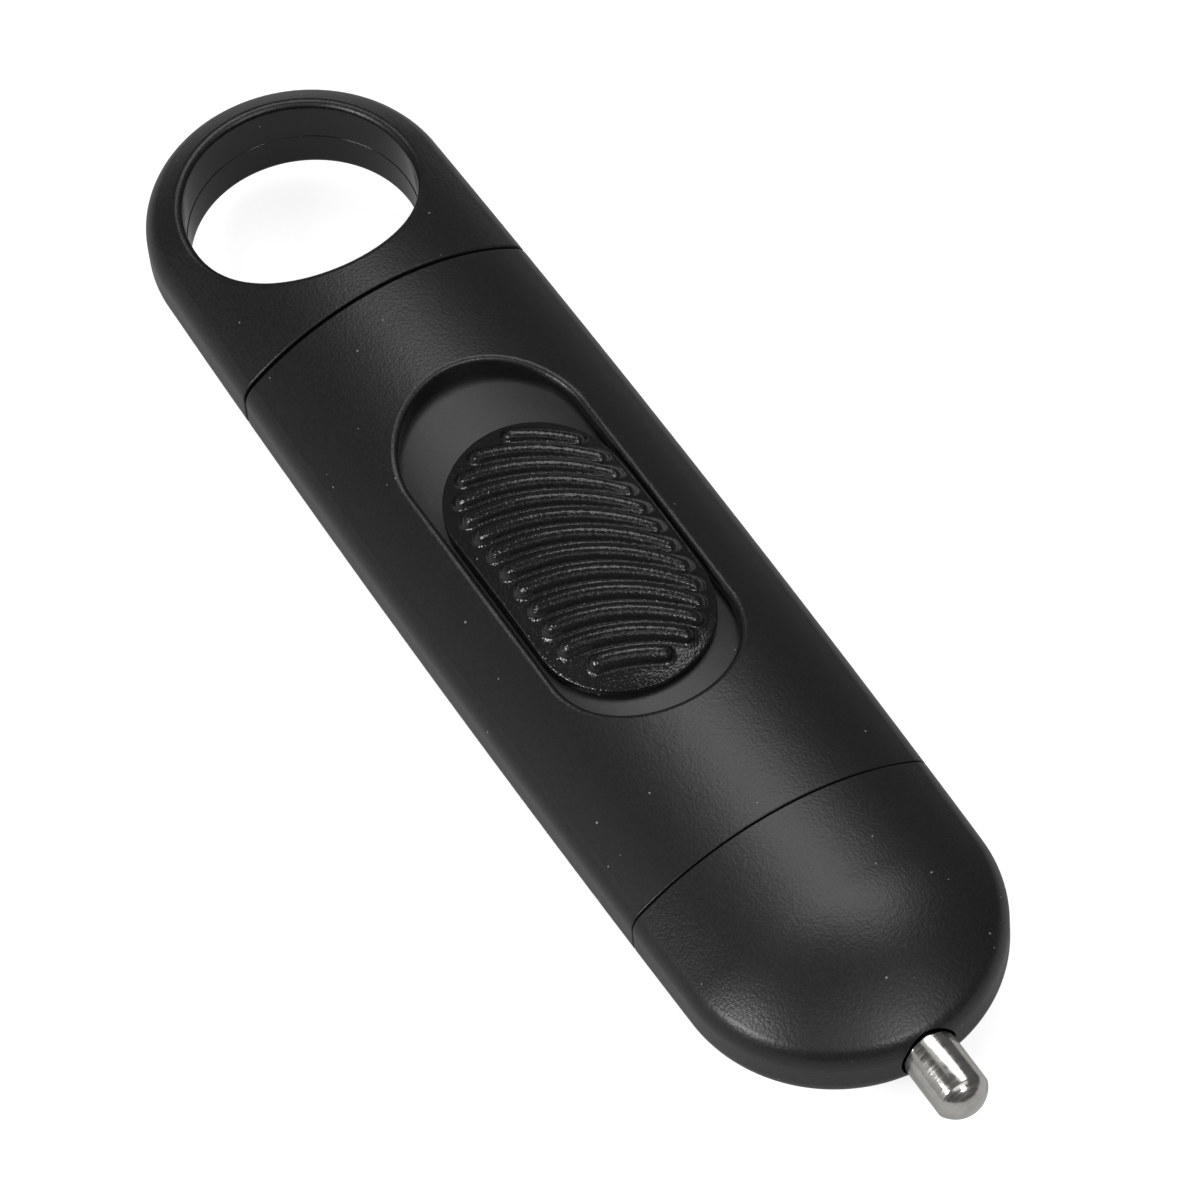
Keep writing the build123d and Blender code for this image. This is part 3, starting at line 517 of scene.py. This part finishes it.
def makeThumbSlider(values):
    selectOnly()
    middle, top, under = values["middle"], values["top"], values["underside"]
    bpy.ops.mesh.primitive_cylinder_add(
        vertices=values["sides"], radius=values["halfWidth"] * mm, depth=(top - under) * mm,
        location=(middle * mm, 0, (top + under) / 2 * mm))
    piece = bpy.context.object
    bpy.ops.object.transform_apply(location=True)
    bpy.ops.object.mode_set(mode="EDIT")
    for side in (-1, 1):
        pick("verts", lambda vert: (vert.co.x - middle * mm) * side > 1e-6)
        bpy.ops.transform.translate(value=(side * values["spread"] * mm, 0, 0))

    # one bead for each rib: a disc spun round the rib's ring, with a ball at each end
    for rib in range(values["ribs"]):
        place = (rib - values["ribs"] // 2) * values["ribPitch"]
        centreX = middle + values["ribArcForward"] + place
        centreY = -values["ribArcAside"]
        inside = []
        tries = values["triesPerDegree"]
        for step in range(90 * tries, 270 * tries):
            angle = math.radians(step / tries)
            x = centreX + values["ribArc"] * math.cos(angle)
            y = centreY + values["ribArc"] * math.sin(angle)
            past = max(abs(x - middle + values["ribsBack"]) - values["spread"], 0)
            if math.hypot(past, y - values["ribsAside"]) < values["ribEnds"]:
                inside.append(angle)
        first, last = inside[0], inside[-1]
        height = top - values["beadSunk"]
        ends = [(
            (centreX + values["ribArc"] * math.cos(angle)) * mm,
            (centreY + values["ribArc"] * math.sin(angle)) * mm,
            height * mm,
        ) for angle in (first, last)]
        bpy.ops.mesh.primitive_circle_add(
            vertices=values["beadSides"], radius=values["beadRadius"] * mm, fill_type="NGON",
            location=ends[0], rotation=(math.pi / 2, 0, first))
        bpy.ops.mesh.spin(
            steps=values["beadSteps"], angle=first - last, use_auto_merge=False,
            center=(centreX * mm, centreY * mm, height * mm), axis=(0, 0, 1))
        for end in ends:
            bpy.ops.mesh.primitive_uv_sphere_add(
                segments=values["beadSides"], ring_count=values["ballRings"],
                radius=values["beadRadius"] * mm, location=end)

    # the stem under the plate: a block on two snap legs
    rear, front, width, foot = values["stem"]
    thick, legFoot, barb, barbHeight = values["leg"]
    legTop, barbTop = foot + values["legIntoStem"], legFoot + barbHeight
    blocks = [
        (rear, front, foot, under + values["stemIntoPlate"]),
        (rear, rear + thick, legFoot, legTop),
        (front - thick, front, legFoot, legTop),
        (rear - barb, rear + barb, legFoot, barbTop),
        (front - barb, front + barb, legFoot, barbTop),
    ]
    for low, high, bottom, upper in blocks:
        bpy.ops.mesh.primitive_cube_add(
            size=mm, location=((low + high) / 2 * mm, 0, (bottom + upper) / 2 * mm),
            scale=(high - low, width, upper - bottom))
    bpy.ops.object.mode_set(mode="OBJECT")

    applyModifier(piece, "REMESH", mode="VOXEL", voxel_size=values["voxel"] * mm)
    applyModifier(piece, "SMOOTH", factor=0.5, iterations=values["smoothAll"])
    innerWidth = values["halfWidth"] - values["rimWidth"]
    inField = []
    for vert in piece.data.vertices:
        past = max(abs(vert.co.x / mm - middle) - values["spread"], 0)
        if math.hypot(past, vert.co.y / mm) < innerWidth:
            inField.append(vert.index)
    piece.vertex_groups.new(name="ribField").add(inField, 1.0, "REPLACE")
    applyModifier(piece, "SMOOTH", factor=0.5, iterations=values["smoothRibs"],
                  vertex_group="ribField")

    # the flat plate is domed: its top along and across the grip, its underside only across
    across, along, below = values["domeAcross"], values["domeAlong"], values["undersideDome"]
    for vert in piece.data.vertices:
        x, y, z = vert.co.x / mm - middle, vert.co.y / mm, vert.co.z / mm
        ring = along - across + math.sqrt(across ** 2 - y ** 2)
        topDrop = along - math.sqrt(ring ** 2 - x ** 2)
        underDrop = below - math.sqrt(below ** 2 - y ** 2)
        share = min(max((z - under) / (top - under), 0), 1)
        vert.co.z = (z - underDrop - share * (topDrop - underDrop)) * mm
    piece.data.update()
    selectOnly(piece)
    bpy.ops.object.shade_smooth()
    finishPiece(piece, "thumbSlider", sliderMaterial, "slide", "thumb_slider")


makeThumbSlider(thumbSlider)

drawnPin = {
    # (place along the grip, radius) from the back face to the edge of the dome
    "steps": [
        (62.6, 2.5), (65.7, 2.5), (65.7, 1.8), (67.7, 1.8), (67.7, 2.5),
        (102.4, 2.5), (102.4, 2.25), (104.0, 2.25), (104.0, 2.5), (109.16, 2.5),
    ],
    "domeHeight": 1.6,
    "domeRings": 10,
    "edgeBreak": 0.04,       # the turned edge is only just broken
    "edgeInset": 0.03,
    "sides": 96,
    "smoothBelow": 24,       # degrees
}


def makeDrawnPin(values):
    selectOnly()
    (start, radius), steps = values["steps"][0], values["steps"][1:]
    end, endRadius = values["steps"][-1]
    domeRadius = (endRadius ** 2 + values["domeHeight"] ** 2) / (2 * values["domeHeight"])
    shoulder = end + values["edgeBreak"]
    ball = shoulder + values["domeHeight"] - domeRadius     # centre of the dome's sphere
    rings = []
    for ring in range(values["domeRings"]):
        turn = math.radians(90 / values["domeRings"] * ring)
        size = (endRadius - values["edgeBreak"]) * math.cos(turn)
        if ring == 0:
            size = endRadius - values["edgeInset"]
        rings.append((ball + math.sqrt(domeRadius ** 2 - size ** 2), size))
    bpy.ops.mesh.primitive_circle_add(
        vertices=values["sides"], radius=radius * mm, fill_type="NGON",
        location=(start * mm, 0, 0), rotation=(0, math.pi / 2, 0))
    piece = bpy.context.object
    bpy.ops.object.transform_apply(location=True, rotation=True)
    bpy.ops.object.mode_set(mode="EDIT")
    place, size = start, radius
    for newPlace, newSize in steps + rings:
        # the end face is drawn out or stepped in, the way the pin is turned
        bpy.ops.mesh.extrude_region_move(
            TRANSFORM_OT_translate={"value": ((newPlace - place) * mm, 0, 0)})
        ratio = newSize / size
        bpy.ops.transform.resize(value=(1, ratio, ratio), center_override=(newPlace * mm, 0, 0))
        place, size = newPlace, newSize
    bpy.ops.mesh.merge(type="CENTER")
    bpy.ops.mesh.select_all(action="SELECT")
    bpy.ops.mesh.normals_make_consistent(inside=False)
    bpy.ops.object.mode_set(mode="OBJECT")
    bpy.ops.object.shade_smooth_by_angle(angle=math.radians(values["smoothBelow"]))
    finishPiece(piece, "drawnPin", steelMaterial, "slide", "detaching_pin")


makeDrawnPin(drawnPin)

returnSpring = {
    # music wire wound round the guide rod, in millimetres; the real one shortens as the thumb pulls
    # back, this one keeps the CAD spring's length
    "meanRadius": 2.35,
    "wire": 0.5,
    "turns": 9,
    "wireSides": 16,
    "stepsPerTurn": 48,
    "smoothBelow": 50,       # degrees
}


def makeReturnSpring(values):
    selectOnly()
    low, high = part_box("return_spring")
    length = high[0] - low[0] - values["wire"] * mm
    bpy.ops.mesh.primitive_circle_add(
        vertices=values["wireSides"], radius=values["wire"] / 2 * mm, fill_type="NOTHING",
        location=(low[0] + values["wire"] / 2 * mm, 0, values["meanRadius"] * mm),
        rotation=(math.pi / 2, 0, 0))
    piece = bpy.context.object
    bpy.ops.object.transform_apply(location=True, rotation=True)
    steps = values["stepsPerTurn"] * values["turns"]
    applyModifier(piece, "SCREW", axis="X", angle=math.tau * values["turns"], steps=steps,
                  render_steps=steps, screw_offset=length, use_merge_vertices=False)
    bpy.ops.object.mode_set(mode="EDIT")
    bpy.ops.mesh.select_all(action="SELECT")
    bpy.ops.mesh.fill_holes(sides=values["wireSides"])
    bpy.ops.mesh.select_all(action="SELECT")
    bpy.ops.mesh.normals_make_consistent(inside=False)
    bpy.ops.object.mode_set(mode="OBJECT")
    bpy.ops.object.shade_smooth_by_angle(angle=math.radians(values["smoothBelow"]))
    finishPiece(piece, "returnSpring", innerMaterials["musicWire"], "housing", "return_spring")
    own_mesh(piece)


makeReturnSpring(returnSpring)

holeSeam = {
    # where the two halves of the ring's core met in the mould, a hair of plastic stands on the wall
    "radius": 10.68,
    "thickness": 0.09,       # radius of the round hair
    "height": -0.3,
    "steps": 160,
    "sides": 8,
}


def makeHoleSeam(values):
    selectOnly()
    bpy.ops.mesh.primitive_torus_add(
        major_segments=values["steps"], minor_segments=values["sides"],
        major_radius=values["radius"] * mm, minor_radius=values["thickness"] * mm,
        location=(0, 0, values["height"] * mm))
    piece = bpy.context.object
    bpy.ops.object.shade_smooth()
    finishPiece(piece, "holeSeam", capMaterial, "housing", None)


makeHoleSeam(holeSeam)
